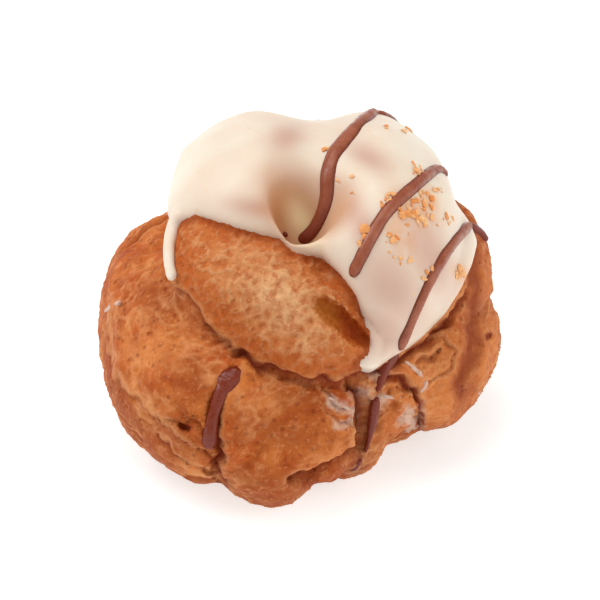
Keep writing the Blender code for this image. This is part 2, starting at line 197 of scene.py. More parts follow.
def normals_of(mesh):
    normals = np.empty(len(mesh.vertices) * 3, np.float32)
    mesh.vertex_normals.foreach_get("vector", normals)
    return normals.reshape(-1, 3).astype(float)


def move_points(mesh, points):
    mesh.vertices.foreach_set("co", points.astype(np.float32).ravel())
    mesh.update()


def sketch_axes(plane):
    """The directions across, up and into a sketch plane."""
    side, lean = plane
    s, c = math.sin(lean), math.cos(lean)
    return np.array(((side, 0, 0), (0, side * s, c), (0, side * c, -s)))


def on_sketch(points, plane):
    return points @ sketch_axes(plane)[:2].T


def facing(normals, plane):
    """1 where the surface lies flat to the sketch plane, 0 where edge on, and below 0 where turned away."""
    return -(normals @ sketch_axes(plane)[2])


def smooth_step(x):
    x = np.clip(x, 0, 1)
    return x * x * (3 - 2 * x)


def from_route(flat, route):
    """Each flat point's distance from a route of straight runs, and which side of it: 1 left, -1 right."""
    nearest = np.full(len(flat), np.inf)
    hand = np.ones(len(flat))
    for start, end in zip(route[:-1], route[1:]):
        run, reach = end - start, flat - start
        along = np.clip(reach @ run / (run @ run), 0, 1)
        away = np.linalg.norm(reach - along[:, None] * run, axis=1)
        turn = np.sign(run[0] * reach[:, 1] - run[1] * reach[:, 0])
        hand = np.where(away < nearest, turn, hand)
        nearest = np.minimum(nearest, away)
    return nearest, hand


def spread(mesh, values, rounds):
    """Evens out a value per vertex over its neighbours."""
    ends = np.empty(len(mesh.edges) * 2, np.int32)
    mesh.edges.foreach_get("vertices", ends)
    a, b = ends.reshape(-1, 2).T
    count = np.bincount(a, minlength=len(values)) + np.bincount(b, minlength=len(values))
    for _ in range(rounds):
        total = np.bincount(a, values[b], len(values)) + np.bincount(b, values[a], len(values))
        values = (values + total / count) / 2
    return values


def set_mask(mesh, name, values):
    mask = mesh.attributes.new(name, "FLOAT", "POINT")
    mask.data.foreach_set("value", values.astype(np.float32))


def noise_at(points, size, seed):
    offset = Vector((seed, seed * 0.7, 0))
    return np.array([noise.noise(Vector(p / size) + offset) for p in points])


def swell(mesh, size, height, seed, amount=1):
    points = points_of(mesh)
    lift = noise_at(points, size, seed) * height * amount
    move_points(mesh, points + normals_of(mesh) * lift[:, None])


# How far a crack's lip reaches, where its edge stands and how wide that edge is, in widths of the crack.
LIP_REACH, LIP_EDGE, LIP_EDGE_WIDTH = 2.2, 0.9, 0.7


def press_crack(mesh, wander, plane, route, width, depth, lip):
    """A soft V along the route, with the left side lifted into a lip, or lowered where the lip is below 0.

    Returns how deep it is, and how near each point is to the edge of the side that stands higher.
    """
    points, normals = points_of(mesh), normals_of(mesh)
    away, hand = from_route(on_sketch(points, plane) + wander, np.array(route) * MM)
    seen = smooth_step(facing(normals, plane) * 4)
    deep = np.exp(-((away / (width * MM)) ** 2)) * seen
    raised = np.where(hand > 0, np.exp(-away / (LIP_REACH * width * MM)), 0) * seen
    move_points(mesh, points + normals * (lip * MM * raised - depth * MM * deep)[:, None])
    from_edge = (away - LIP_EDGE * width * MM) / (LIP_EDGE_WIDTH * width * MM)
    edge = np.where(hand * lip > 0, np.exp(-(from_edge**2)), 0)
    return deep, edge * seen


def hollow_share(points, plane, middle, half_length, half_width, turn, gentle=0.0):
    """How far into an oval hollow each point lies, up to 1.

    Its walls are steep, but gentle on the side that it is turned to where gentle is 1, and all round where 2.
    """
    flat = on_sketch(points, plane) - np.array(middle) * MM
    c, s = math.cos(math.radians(turn)), math.sin(math.radians(turn))
    along = (flat @ (c, s)) / (half_length * MM)
    beside = (flat @ (-s, c)) / (half_width * MM)
    reach = np.hypot(along, beside)
    far = np.clip(gentle * smooth_step((along / np.maximum(reach, 0.01) + 1) / 2) + gentle - 1, 0, 1)
    return (1 - far) * np.exp(-(reach**6)) + far * np.exp(-(reach**2))


def press_hollow(mesh, depth, *shape):
    """Presses an oval hollow straight into its sketch plane, which stands first in its shape."""
    points, normals = points_of(mesh), normals_of(mesh)
    plane = shape[0]
    deep = hollow_share(points, *shape) * smooth_step(facing(normals, plane) * 4)
    move_points(mesh, points + sketch_axes(plane)[2] * (depth * MM * deep)[:, None])
    return deep


# Sketch plane, route, width, depth and the height of the lip on the route's left, which a minus lowers.
# The lines as drawn are straight runs, so each place's distance is measured from a spot a little beside it.
WANDER_SIZE, WANDER = 2.3 * MM, 0.8 * MM
CRACKS = {
    "under_lid": (
        FRONT,
        ((-8.6, 9.8), (-7.1, 8.7), (0, 6.0), (5.6, 5.7), (10.1, 7.1), (13.2, 8.0), (17.6, 10.6), (21.9, 14.6),
         (24.9, 18.6)),
        0.65, 1.15, 0.3,
    ),
    "under_lid_left": (
        FRONT, ((-19.6, 21), (-18, 19.4), (-15.4, 16.8), (-12.4, 12.8), (-8.6, 9.8)), 0.55, 0.6, 0.3,
    ),
    # A shallow groove under the lid's lower edge, there mostly for the line of painted shade that its mask
    # leaves.
    "lid_shade_line": (
        FRONT, ((-3.6, 7.1), (-1.6, 6.2), (0.4, 5.6), (3, 5.3), (5.8, 5.3), (8.4, 5.9)), 0.32, 0.4, 0.0,
    ),
    "front_cleft": (
        FRONT,
        ((-9.6, 6.8), (-11.4, 4.4), (-12.5, 1.6), (-12.4, -1.4), (-11.8, -4.4), (-12.3, -7), (-11, -9.8)),
        0.8, 2.2, 0.6,
    ),
    "plate_side": (
        FRONT,
        ((7.2, 5.4), (8.8, 3), (9.3, 0.5), (9.3, -2), (8.9, -3.9), (6.4, -5.9), (3.6, -7.3), (0.6, -8.6),
         (-1, -9)),
        0.7, 1.9, -1.0,
    ),
    "lobe_side": (FRONT, ((12, 6.4), (15, 5.9), (17.2, 4.4), (17.6, 2), (17.5, -2)), 0.45, 1.0, 0.6),
    "plate_flake": (FRONT, ((8.4, 1.6), (6.2, 1.6), (4.6, 3.0), (3.3, 5)), 0.35, 0.4, 0.4),
    "second_flake": (FRONT, ((9, -1.4), (7, -0.6), (5.2, 0.2), (3.4, 1.4)), 0.35, 0.4, 0.35),
    "lobe_flake": (
        FRONT, ((18.6, 11.6), (21, 12), (23, 10.2), (22.4, 7.8), (20.4, 6.2), (18.6, 5.6)), 0.3, 0.4, 0.3,
    ),
    "lobe_split": (FRONT, ((17.6, 8.8), (19.4, 9.2), (20.6, 10.6)), 0.35, 0.6, 0.2),
    "left_shoulder": (
        FRONT, ((-20.6, 0.6), (-22.8, 2.3), (-26.3, 4.6), (-28.3, 8), (-28.9, 12), (-29, 16)),
        0.7, 0.2, -0.45,
    ),
    "left_tear": (FRONT, ((-21.5, 1.2), (-18.5, -1.5), (-15.5, -3.6), (-12.8, -5)), 0.35, 0.5, 0.3),
    "lower_tear": (FRONT, ((-20.5, -2.2), (-18, -4.8), (-15, -6.6), (-12.2, -7.6)), 0.35, 0.6, 0.3),
    "foot_gap": (FRONT, ((-18.5, -8.6), (-15, -8.9), (-12, -9.2)), 0.6, 1.6, 0.3),
    "rim_groove": (FRONT, ((22.8, 32), (25.5, 26), (26.3, 20), (25.6, 11), (23.8, 4)), 1.4, 0.8, 0.0),
    "back_seam": (
        BACK,
        ((-27, 10), (-24, 12), (-20, 10.5), (-15, 12.5), (-9, 10.8), (-3, 13), (4, 11.4), (10, 13.4),
         (16, 11.8), (21, 14), (26, 12)),
        1.0, 1.8, 0.4,
    ),
    "back_split_left": (BACK, ((-13, 11), (-14.5, 5), (-12.5, -1), (-14, -6)), 1.0, 2.2, 0.5),
    "back_split_right": (BACK, ((9, 12), (11, 6), (9.5, 0), (11.5, -7)), 1.0, 2.2, 0.5),
}
# Hollows: depth, sketch plane, middle, half length, half width, turn, and how gentle one wall is.
PIT = (8.5, TOP, (0.0, -3.6), 4.0, 3.8, 50, 1.0)
POCKET = (3.4, FRONT, (5.8, 14.6), 5.1, 1.5, -42)
LEFT_HOLE = (1.2, FRONT, (-16.5, -0.6), 0.9, 0.5, -10)
RIM_HOLE = (0.8, FRONT, (27.9, 12.4), 0.7, 0.5, 60)
DENT = (2.4, TOP, (5.4, -3.2), 3.8, 3.2, 70, 2.0)
SWELL_SIZE, SWELL_HEIGHT = 9 * MM, 0.8 * MM
# Cracks at least this deep get the darkest painted shade.
DARKEST_CRACK = 1.0

# The lid's two halves grew into each other, so the valley between them is soft. The lid lies above one height
# and behind one distance, and each comes with the span over which it takes hold.
LID_EVENING = 120
LID_ABOVE, LID_BEHIND = (30 * MM, 6 * MM), (-10 * MM, 4 * MM)
points = points_of(bun.data)
lid = smooth_step((points[:, 2] - LID_ABOVE[0]) / LID_ABOVE[1])
lid *= smooth_step((points[:, 1] - LID_BEHIND[0]) / LID_BEHIND[1])
even = np.stack([spread(bun.data, points[:, k], LID_EVENING) for k in range(3)], axis=1)
move_points(bun.data, points + (even - points) * lid[:, None])

swell(bun.data, SWELL_SIZE, SWELL_HEIGHT, 0)
press_hollow(bun.data, *DENT)
pocket = press_hollow(bun.data, *POCKET)

# Where the icing lies, from the drip on the left round to where its edge passes out of sight on the right,
# and round the back as bearings (right positive) and heights. The crust is smooth under it.
ICING_EDGE = (
    (-22.5, 30), (-20.9, 28.8), (-20.1, 28.2), (-19, 28.2), (-18, 29), (-16.8, 29.8), (-14.6, 30.2),
    (-8.9, 28.3), (-2.8, 26.7), (-0.3, 24.7), (3.2, 24), (6, 21.5), (8.2, 18.5), (9.5, 15.4), (10.2, 12.8),
    (10.4, 10), (8.4, 8.2), (10.4, 7.4), (12.6, 8.9), (14.8, 10.2), (17.8, 12.3), (21.2, 15.8), (23.4, 19.2),
    (25.1, 22.7), (26, 26.1), (24.7, 29.1), (22.5, 32.2), (21.7, 35.6), (20.6, 37.8), (19.6, 41),
)
BEYOND_EDGE = ((35, 50), (35, 70), (-35, 70), (-35, 31.5))
ICING_BACK_MIDDLE = (2, 8)
ICING_BACK_EDGE = (
    (-180, 28.5), (-112, 27), (-104, 28), (-98, 31), (-80, 33.5), (-62, 31.5), (-48, 28), (-40, 28),
    (-28, 32.5), (-8, 34), (8, 31.5), (18, 27.5), (25, 27.5), (38, 33.5), (52, 35.8), (64, 35.5), (74, 32.5),
    (84, 29.5), (92, 27.5), (180, 27),
)
# The back's edge holds fully between the middle two of these bearings, and not beyond the outer two.
BACK_BEARINGS = (-113, -105, 84, 92)
DEEPEST_INSIDE = 6 * MM


def inside_outline(flat, outline):
    inside = np.zeros(len(flat), bool)
    for (x0, y0), (x1, y1) in zip(outline, np.roll(outline, -1, axis=0)):
        if y0 != y1:
            level = (flat[:, 1] > y0) != (flat[:, 1] > y1)
            inside ^= level & (flat[:, 0] < x0 + (flat[:, 1] - y0) * (x1 - x0) / (y1 - y0))
    return inside


def icing_depth(mesh):
    """How far inside the icing's edge each vertex lies: below 0 outside it."""
    points, normals = points_of(mesh), normals_of(mesh)
    flat = on_sketch(points, FRONT)
    edge = np.array(ICING_EDGE) * MM
    outline = np.concatenate([edge, np.array(BEYOND_EDGE) * MM])
    front = from_route(flat, edge)[0] * np.where(inside_outline(flat, outline), 1, -1)
    x, y = (points[:, :2] - np.array(ICING_BACK_MIDDLE) * MM).T
    bearings = np.degrees(np.arctan2(x, y))
    back = points[:, 2] - np.interp(bearings, *np.array(ICING_BACK_EDGE).T) * MM
    turned_forward = smooth_step((facing(normals, FRONT) + 0.35) / 0.3)
    share = spread(mesh, np.maximum(turned_forward, smooth_step(-points[:, 1] / (4 * MM) - 1)), 6)
    in_front = np.interp(bearings, BACK_BEARINGS, (1, 0, 0, 1)) * 100 * MM
    depth = np.minimum(share * front + (1 - share) * back, back + in_front)
    return spread(mesh, np.clip(depth, -DEEPEST_INSIDE, DEEPEST_INSIDE), 7)


def duplicate_of(obj, name):
    select_only(obj)
    bpy.ops.object.duplicate()
    copy = bpy.context.object
    copy.name = name
    copy.data.name = name
    return copy


# How far apart a trail's places are, how often they are evened out, and by what share its width varies.
TRAIL_STEP = 0.5 * MM
TRAIL_EVENING = 12
TRAIL_UNEVEN = 0.16


def surface_tree(obj):
    mesh = obj.data
    return BVHTree.FromPolygons([v.co for v in mesh.vertices], [p.vertices for p in mesh.polygons])


def landed_route(tree, plane, route):
    """Places along a route, dropped straight onto a surface, each with the way that the surface faces."""
    axes = sketch_axes(plane)
    flat = np.array(route) * MM
    lengths = np.concatenate([[0], np.cumsum(np.linalg.norm(np.diff(flat, axis=0), axis=1))])
    landed = []
    for station in np.arange(0, lengths[-1] + TRAIL_STEP, TRAIL_STEP):
        across, up = (np.interp(station, lengths, flat[:, k]) for k in (0, 1))
        start = axes[0] * across + axes[1] * up - axes[2] * 0.2
        point, normal, _, _ = tree.ray_cast(Vector(start), Vector(axes[2]))
        if point:
            landed.append((np.array(point), np.array(normal)))
    return landed


def evened(rows, rounds):
    """Evens out a row of places. The ends of a long one run straight on from the places before them."""
    for _ in range(rounds):
        rows[1:-1] = (rows[:-2] + 2 * rows[1:-1] + rows[2:]) / 4
        if len(rows) > 6:
            rows[[0, -1]] = 2 * rows[[1, -2]] - rows[[2, -3]]
    return rows


def add_rope(tree, plane, route, widths, proud, seed):
    """A rope with round ends along a route, half sunk in what it lies on, thick and thin by turns."""
    landed = landed_route(tree, plane, route)
    points, normals = (evened(np.array(rows), TRAIL_EVENING) for rows in zip(*landed))
    widths = np.interp(np.linspace(0, 1, len(points)), np.linspace(0, 1, len(widths)), widths)
    bpy.ops.curve.primitive_nurbs_path_add()
    curve = bpy.context.object.data
    curve.splines.clear()
    spline = curve.splines.new("POLY")
    spline.points.add(len(points) - 1)
    for k, (point, normal, width) in enumerate(zip(points, normals, widths)):
        to_end = min(k, len(points) - 1 - k) * TRAIL_STEP / (width * MM)
        rounded = math.sqrt(1 - max(0, 0.85 - 2 * to_end) ** 2)
        width *= rounded + TRAIL_UNEVEN * noise.noise(Vector((k * 0.22, seed, 0)))
        spline.points[k].co = (*(point + normal * (proud - 0.5 * width) * MM), 1)
        spline.points[k].radius = width
    curve.bevel_depth = 0.5 * MM
    curve.bevel_resolution = 6
    curve.use_fill_caps = True
    bpy.ops.object.convert(target="MESH")
    return bpy.context.object


inside_icing = icing_depth(bun.data)
icing = duplicate_of(bun, "icing_coat")
whole_skin = surface_tree(bun)
crease_shade = np.zeros(len(bun.data.vertices))
lip_highlight = np.zeros(len(bun.data.vertices))
wander = np.stack([noise_at(points, WANDER_SIZE, seed) for seed in (41, 57)], axis=1) * WANDER
for crack in CRACKS.values():
    crack_depth, crack_lip = press_crack(bun.data, wander, *crack)
    # Painted shade along each crack, the deeper the crack the more.
    crease_shade = np.maximum(crease_shade, crack_depth * min(1, crack[3] / DARKEST_CRACK))
    # Painted highlight along the edge of each raised lip.
    lip_highlight = np.maximum(lip_highlight, crack_lip)
for hole in (LEFT_HOLE, RIM_HOLE):
    crease_shade = np.maximum(crease_shade, press_hollow(bun.data, *hole))
press_hollow(bun.data, *PIT)
under_icing = duplicate_of(bun, "under_icing")

# The crumb: the pale face that tore open under the lid. It is spongy, with small open cells and a web of thin
# walls between them, it sags here and there, and its rim is browner where it meets the icing.
CRUMB_OUTLINE = (
    (-19.4, 28.5), (-17.5, 31), (-14.5, 31), (-8.9, 29.2), (-2.6, 27.6), (0, 25.4), (3.6, 24.7), (6.8, 21.9),
    (9, 18.6), (10.3, 15.2), (10.9, 12.8), (10.9, 7.9), (5.6, 6.6), (0, 6.9), (-6.8, 9.5), (-11.8, 13.6),
    (-14.9, 17.6), (-17.8, 20.4),
)
CELL_SIZE, CELL_DEPTH = 1.6 * MM, 0.30 * MM
WEB_SIZE, WEB_HEIGHT = 2.0 * MM, 0.28 * MM
SAG_SIZE, SAG_HEIGHT = 4 * MM, 0.35 * MM
RIM_BELOW, RIM_WIDTH = 0.45 * MM, 0.65 * MM
HEART = ((-3, 17.8), 9, 4.4, -38)


def reach_inside(flat, outline):
    """How far inside an outline each flat point lies: below 0 outside it."""
    outline = np.array(outline) * MM
    reach = from_route(flat, np.concatenate([outline, outline[:1]]))[0]
    return reach * np.where(inside_outline(flat, outline), 1, -1)


flat = on_sketch(points_of(bun.data), FRONT)
crumb_reach = reach_inside(flat, CRUMB_OUTLINE)
crumb = smooth_step(crumb_reach / (0.8 * MM) + 0.4) * smooth_step(facing(normals_of(bun.data), FRONT) * 5)
crumb = spread(bun.data, crumb, 2)


def cells_at(points, size, wanted):
    """How near each point is to the middle of an open cell: 1 in its middle, 0 on the walls between."""
    depth = np.zeros(len(points))
    for k in np.flatnonzero(wanted):
        near, following = noise.voronoi(Vector(points[k] / size))[0][:2]
        depth[k] = following - near
    return depth


def ridges_at(points, size, seed):
    """Thin crests that wander through the dough, 1 along them and 0 between."""
    return np.clip(1 - np.abs(noise_at(points, size, seed)) * 3.4, 0, 1) ** 2


def oval_share(flat, middle, half_length, half_width, turn):
    """1 in the middle of an oval on the sketch plane, falling softly to 0 past its rim."""
    flat = flat - np.array(middle) * MM
    c, s = math.cos(math.radians(turn)), math.sin(math.radians(turn))
    along, beside = flat @ (c, s) / (half_length * MM), flat @ (-s, c) / (half_width * MM)
    return np.exp(-(along**2 + beside**2))


points, normals = points_of(bun.data), normals_of(bun.data)
open_cells = smooth_step(cells_at(points, CELL_SIZE, crumb > 0.02) * 1.4)
web = ridges_at(points, WEB_SIZE, 61) + 0.7 * ridges_at(points, 0.55 * WEB_SIZE, 67)
sag = noise_at(points, SAG_SIZE, 5) * SAG_HEIGHT
rise = sag + WEB_HEIGHT * (web - 0.5) - CELL_DEPTH * open_cells
move_points(bun.data, points + normals * (crumb * rise)[:, None])
crust_rim = np.exp(-(((inside_icing + RIM_BELOW) / RIM_WIDTH) ** 2)) * crumb

# The crust: a thin brown skin that dried and puckered. Where it tore it shows its layers: drawn out into
# strands low on the left, and broken into small plates between the front lobe and the right one.
STRANDS = ((-23, 2.6), (-18.6, 2.6), (-14.6, 0.6), (-12.4, -1.2), (-11.8, -8.6), (-17, -8.4), (-21, -4.4))
STRAND_RUN = (0.8, -0.6)
STRAND_LENGTH, STRAND_WIDTH, STRAND_HEIGHT = 5 * MM, 0.85 * MM, 0.85 * MM
PLATES = ((8.9, 5.2), (16.8, 5), (17.6, -2), (14, -4.6), (9, -6.6), (9.4, -1.8))
PLATE_SIZE, PLATE_HEIGHT = 2.1 * MM, 0.55 * MM
CRUST_SWELLS = ((3.4 * MM, 0.50 * MM, 7), (1.5 * MM, 0.12 * MM, 13))
PUCKER_SIZES, PUCKER_HEIGHT = (2.2 * MM, 1.3 * MM), 0.22 * MM
PUCKER_SQUEEZE = (0.6, 0.8, 1.5)
PATCH_SIZE = 7 * MM


def drawn_share(flat, outline, edge):
    """1 inside an outline on the sketch plane and 0 outside it, with a soft edge."""
    reach = reach_inside(flat, outline)
    return smooth_step(reach / edge + 0.5) * (reach > 0)


points, normals = points_of(bun.data), normals_of(bun.data)
drawn = on_sketch(points, FRONT) + wander
in_front = smooth_step(facing(normals, FRONT) * 4)
strands = drawn_share(drawn, STRANDS, 1.2 * MM) * in_front
plates = drawn_share(drawn, PLATES, 0.8 * MM) * in_front
crust = (1 - smooth_step((inside_icing + 0.3 * MM) / MM)) * (1 - crumb)
puckered = crust * (1 - 0.7 * strands)
for size, height, seed in CRUST_SWELLS:
    swell(bun.data, size, height, seed, puckered)

points, normals = points_of(bun.data), normals_of(bun.data)
patchy = smooth_step(noise_at(points, PATCH_SIZE, 23) * 2 + 0.5)
squeezed = points * PUCKER_SQUEEZE
puckers = ridges_at(squeezed, PUCKER_SIZES[0], 19) + 0.6 * ridges_at(squeezed, PUCKER_SIZES[1], 29)
lift = (puckers - 0.5) * (0.35 + 0.65 * patchy) * puckered * PUCKER_HEIGHT

along, across = drawn @ STRAND_RUN, drawn @ (-STRAND_RUN[1], STRAND_RUN[0])
strand_places = np.stack([along / STRAND_LENGTH, across / STRAND_WIDTH, np.zeros(len(along))], axis=1)
lift += strands * noise_at(strand_places, 1, 31) * STRAND_HEIGHT

torn_plates = np.zeros(len(points))
for k in np.flatnonzero(plates > 0.01):
    gaps, middles = noise.voronoi(Vector((*(drawn[k] / PLATE_SIZE), 3)))
    step = noise.cell(middles[0] * 7.3)
    torn_plates[k] = step - 0.5 - 0.7 * math.exp(-(((gaps[1] - gaps[0]) / 0.16) ** 2))
lift += spread(bun.data, plates * torn_plates, 1) * PLATE_HEIGHT
move_points(bun.data, points + normals * lift[:, None])

# Where the crust is browner and where it is lighter, as soft ovals: middle, half length, half
# width and turn on the front's sketch plane. The browner ovals are partly the oven's browning and partly
# painted shade, the lighter ones partly pale crust and partly painted light where the lamps leave the lobes
# dim. Thin chocolate left stains along two routes, each with its width and depth of colour. Icing was wiped
# thinly over the torn crust, within outlines.
BROWNED_AND_SHADED = (
    ((-25.3, 0.5), 11, 2.6, -56), ((-3.5, -1), 7.5, 3, -8), ((-4.6, -10), 8.5, 3.6, 0),
    ((20.8, 9.4), 2.8, 2.2, 20), ((-15.5, 14.5), 5, 1.8, -42), ((2, -10), 5, 2.4, 15),
    ((-20.5, 18), 4.5, 3, -50), ((-15.2, 7.4), 4, 2.6, -50), ((-17.5, -4.2), 4.6, 3, -40),
)
PALER_AND_LIT = (
    ((-22.5, 9.6), 3.6, 2.4, -20), ((-5.6, 2.9), 4.6, 1.3, -5), ((12.4, 1), 2, 2.6, 0),
    ((19.5, 2.4), 3.5, 4.4, 30), ((-16, -6.6), 3, 1.6, -30), ((22.6, 7.4), 7, 6.5, 50),
    ((26, 18), 7, 3, -85),
)
FAINT_TRAILS = (
    (((26.3, 16.5), (26.4, 12), (25.4, 7), (23.9, 1.8)), 1.1, 0.32),
    (((12.9, 8.6), (12, 6.4), (11.2, 3), (10.9, 0.4), (10.2, -2.8), (9.3, -5), (7.7, -7.6)), 1.3, 1.0),
)
SMEARS = (
    ((15.4, 1.4), (17.8, 2.2), (18.1, -0.8), (17.2, -2.8), (15.4, -2.2), (14.9, -0.4)),
    ((3.8, 3.9), (5.4, 3.4), (8.2, 1.6), (8.4, 0.4), (6.6, 0.9), (4.6, 2.4)),
    ((4.6, 0.2), (8.0, -0.1), (8.0, -0.7), (5.0, -0.5)),
    ((7.2, 4.7), (10.6, 4.6), (10.4, 2.4), (8.8, 2.6)),
    ((10.9, 3.3), (12.9, 3.2), (12.8, 2.1), (11.2, 2.2)),
    ((9.6, 8.4), (11.6, 7.6), (11.2, 6.4), (9.4, 7.0)),
)
FAR_FROM_SMEAR = 3
BORDER_WIDTH = 4.6 * MM

toasted, paler_and_lit = (
    np.max([oval_share(drawn, *oval) for oval in ovals], axis=0) * in_front for ovals in (BROWNED_AND_SHADED, PALER_AND_LIT)
)
faint_trail = np.zeros(len(drawn))
for route, width, colour_share in FAINT_TRAILS:
    trail_away = from_route(drawn, np.array(route) * MM)[0] / (width * MM)
    faint_trail = np.maximum(faint_trail, colour_share * np.exp(-(trail_away**2)))
smear = np.max([reach_inside(drawn, outline) for outline in SMEARS], axis=0) / MM
masks = {
    "smear": np.maximum(smear, -FAR_FROM_SMEAR) * in_front - FAR_FROM_SMEAR * (1 - in_front),
    "toasted": toasted,
    "paler_and_lit": paler_and_lit,
    "faint_trail": faint_trail * in_front,
    "web": web * crumb,
    "cell": open_cells * crumb,
    "heart": oval_share(flat, *HEART) * crumb,
    "crust_rim": crust_rim,
    "crumb": crumb,
    "crease_shade": crease_shade,
    "lip": lip_highlight,
    "pocket": pocket,
    "pocket_shade": pocket * smooth_step((flat[:, 0] - 4 * MM) / (3 * MM)),
    "border": (1 - smooth_step(crumb_reach / BORDER_WIDTH)) * crumb,
    "pucker_highlight": puckers * patchy * crust,
    "torn": np.maximum(strands, plates),
}
for name, values in masks.items():
    set_mask(bun.data, name, values)
select_only(bun)
bpy.ops.object.mode_set(mode="EDIT")
bpy.ops.mesh.select_all(action="SELECT")
bpy.ops.mesh.bisect(plane_co=(0, 0, 0), plane_no=(0, 0, 1), use_fill=True, clear_inner=True)
bpy.ops.object.mode_set(mode="OBJECT")
bpy.ops.object.shade_smooth()
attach(bun, "root")
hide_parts("choux_bun")


# The crust's and the crumb's colours. Colours are given as a picture shows them and turned into light.
def shown(red, green, blue):
    """A colour read off a picture, 0 to 255, as the light that shaders work in."""
    parts = [c / 255 for c in (red, green, blue)]
    return [c / 12.92 if c <= 0.04045 else ((c + 0.055) / 1.055) ** 2.4 for c in parts] + [1]


def new_material(name, roughness, specular):
    made = bpy.data.materials.new(name)
    made.use_nodes = True
    shader = made.node_tree.nodes["Principled BSDF"]
    shader.inputs["Roughness"].default_value = roughness
    shader.inputs["Specular IOR Level"].default_value = specular
    return made, made.node_tree, shader


def feed(tree, socket, value):
    """Gives a socket a value, or links another node's output to it."""
    if hasattr(value, "is_output"):
        tree.links.new(value, socket)
    else:
        socket.default_value = value


def add_node(tree, kind, sockets=None, **settings):
    node = tree.nodes.new(kind)
    for key, value in settings.items():
        setattr(node, key, value)
    for name, value in (sockets or {}).items():
        feed(tree, node.inputs[name], value)
    return node


def mixed(tree, share, first, second):
    """A mix of two colours. Each may be a colour or another node's output."""
    node = add_node(tree, "ShaderNodeMix", data_type="RGBA")
    for label, value in (("Factor_Float", share), ("A_Color", first), ("B_Color", second)):
        feed(tree, next(i for i in node.inputs if i.identifier == label), value)
    return next(o for o in node.outputs if o.identifier == "Result_Color")


def worked(tree, operation, first, second=0.0):
    return add_node(tree, "ShaderNodeMath", {0: first, 1: second}, operation=operation).outputs[0]


def ranged(tree, value, low, high, most=1.0):
    """0 where the value is at low, the most where it is at high, and between them smoothly."""
    sockets = {"Value": value, "From Min": low, "From Max": high, "To Max": most}
    return add_node(tree, "ShaderNodeMapRange", sockets, interpolation_type="SMOOTHSTEP").outputs["Result"]


def mask_of(tree, name):
    return add_node(tree, "ShaderNodeAttribute", attribute_name=name).outputs["Fac"]


def place_on(tree):
    return add_node(tree, "ShaderNodeTexCoord").outputs["Object"]


def noise_in(tree, place, size, detail=4.0, roughness=0.55):
    """Cloudy noise whose patches are about this size in metres."""
    sockets = {"Vector": place, "Scale": 1 / size, "Detail": detail, "Roughness": roughness}
    return add_node(tree, "ShaderNodeTexNoise", sockets).outputs["Fac"]


def layered(tree, colour, *layers):
    """Lays colours over a base in turn. Each is its colour, where it lies, and its share at most."""
    for over, mask, most in layers:
        mask = mask_of(tree, mask) if isinstance(mask, str) else mask
        colour = mixed(tree, worked(tree, "MULTIPLY", mask, most), colour, over)
    return colour


def make_baked_skin():
    """A group for baked dough: how brown it is in patches, pale flecks, dark pocks, wrinkles, and height."""
    group = bpy.data.node_groups.new("baked_skin", "ShaderNodeTree")
    sizes = ("Patch Size", "Fleck Size", "Pock Size", "Wrinkle Size")
    for label in sizes:
        group.interface.new_socket(label, in_out="INPUT", socket_type="NodeSocketFloat")
    for label in ("Browning", "Fleck", "Pock", "Wrinkle", "Height"):
        group.interface.new_socket(label, in_out="OUTPUT", socket_type="NodeSocketFloat")
    given = group.nodes.new("NodeGroupInput")
    result = group.nodes.new("NodeGroupOutput")
    place = place_on(group)
    scales = {label: worked(group, "DIVIDE", 1.0, given.outputs[label]) for label in sizes}

    def textured(kind, label, detail, roughness, **settings):
        sockets = {"Vector": place, "Scale": scales[label], "Detail": detail, "Roughness": roughness}
        return add_node(group, "ShaderNodeTex" + kind, sockets, **settings)

    patch = textured("Noise", "Patch Size", 5.0, 0.62).outputs["Fac"]
    grain = textured("Noise", "Fleck Size", 6.0, 0.62).outputs["Fac"]
    pit = textured("Voronoi", "Pock Size", 0.0, 0.5).outputs["Distance"]
    folds = textured(
        "Noise", "Wrinkle Size", 3.0, 0.55, noise_type="RIDGED_MULTIFRACTAL", normalize=False
    )
    folds.inputs["Distortion"].default_value = 0.8
    wrinkle = ranged(group, folds.outputs["Fac"], 0.5, 1.9)
    pock = ranged(group, pit, 0.30, 0.06)
    height = worked(group, "SUBTRACT", grain, worked(group, "MULTIPLY", pock, 0.5))
    height = worked(group, "ADD", height, worked(group, "MULTIPLY", wrinkle, 0.8))
    browning, fleck = ranged(group, patch, 0.36, 0.66), ranged(group, grain, 0.53, 0.66)
    outputs = {
        "Browning": browning, "Fleck": fleck, "Pock": pock, "Wrinkle": wrinkle, "Height": height,
    }
    for label, value in outputs.items():
        group.links.new(value, result.inputs[label])
    return group


baked_skin = make_baked_skin()


def add_group(tree, group, **values):
    node = tree.nodes.new("ShaderNodeGroup")
    node.node_tree = group
    for key, value in values.items():
        node.inputs[key.replace("_", " ").title()].default_value = value
    return node


CRUST_TAN = shown(204, 114, 48)
CRUST_RUST = shown(184, 80, 12)
CRUST_BROWN = shown(152, 64, 8)
CRUST_DARK = shown(128, 36, 0)
CRUST_SPOT = shown(146, 54, 2)
CRUST_FLECK = shown(230, 160, 102)
CRUST_PALE = shown(220, 134, 70)
CRUST_PLUM = shown(126, 58, 36)
CRUMB_PALE = shown(232, 182, 130)
CRUMB_GOLD = shown(194, 102, 34)
CRUMB_RUST = shown(180, 80, 18)
CRUMB_DARK = shown(160, 50, 0)
CRUMB_OLIVE = shown(206, 118, 18)
SMEAR_WHITE = shown(220, 192, 172)

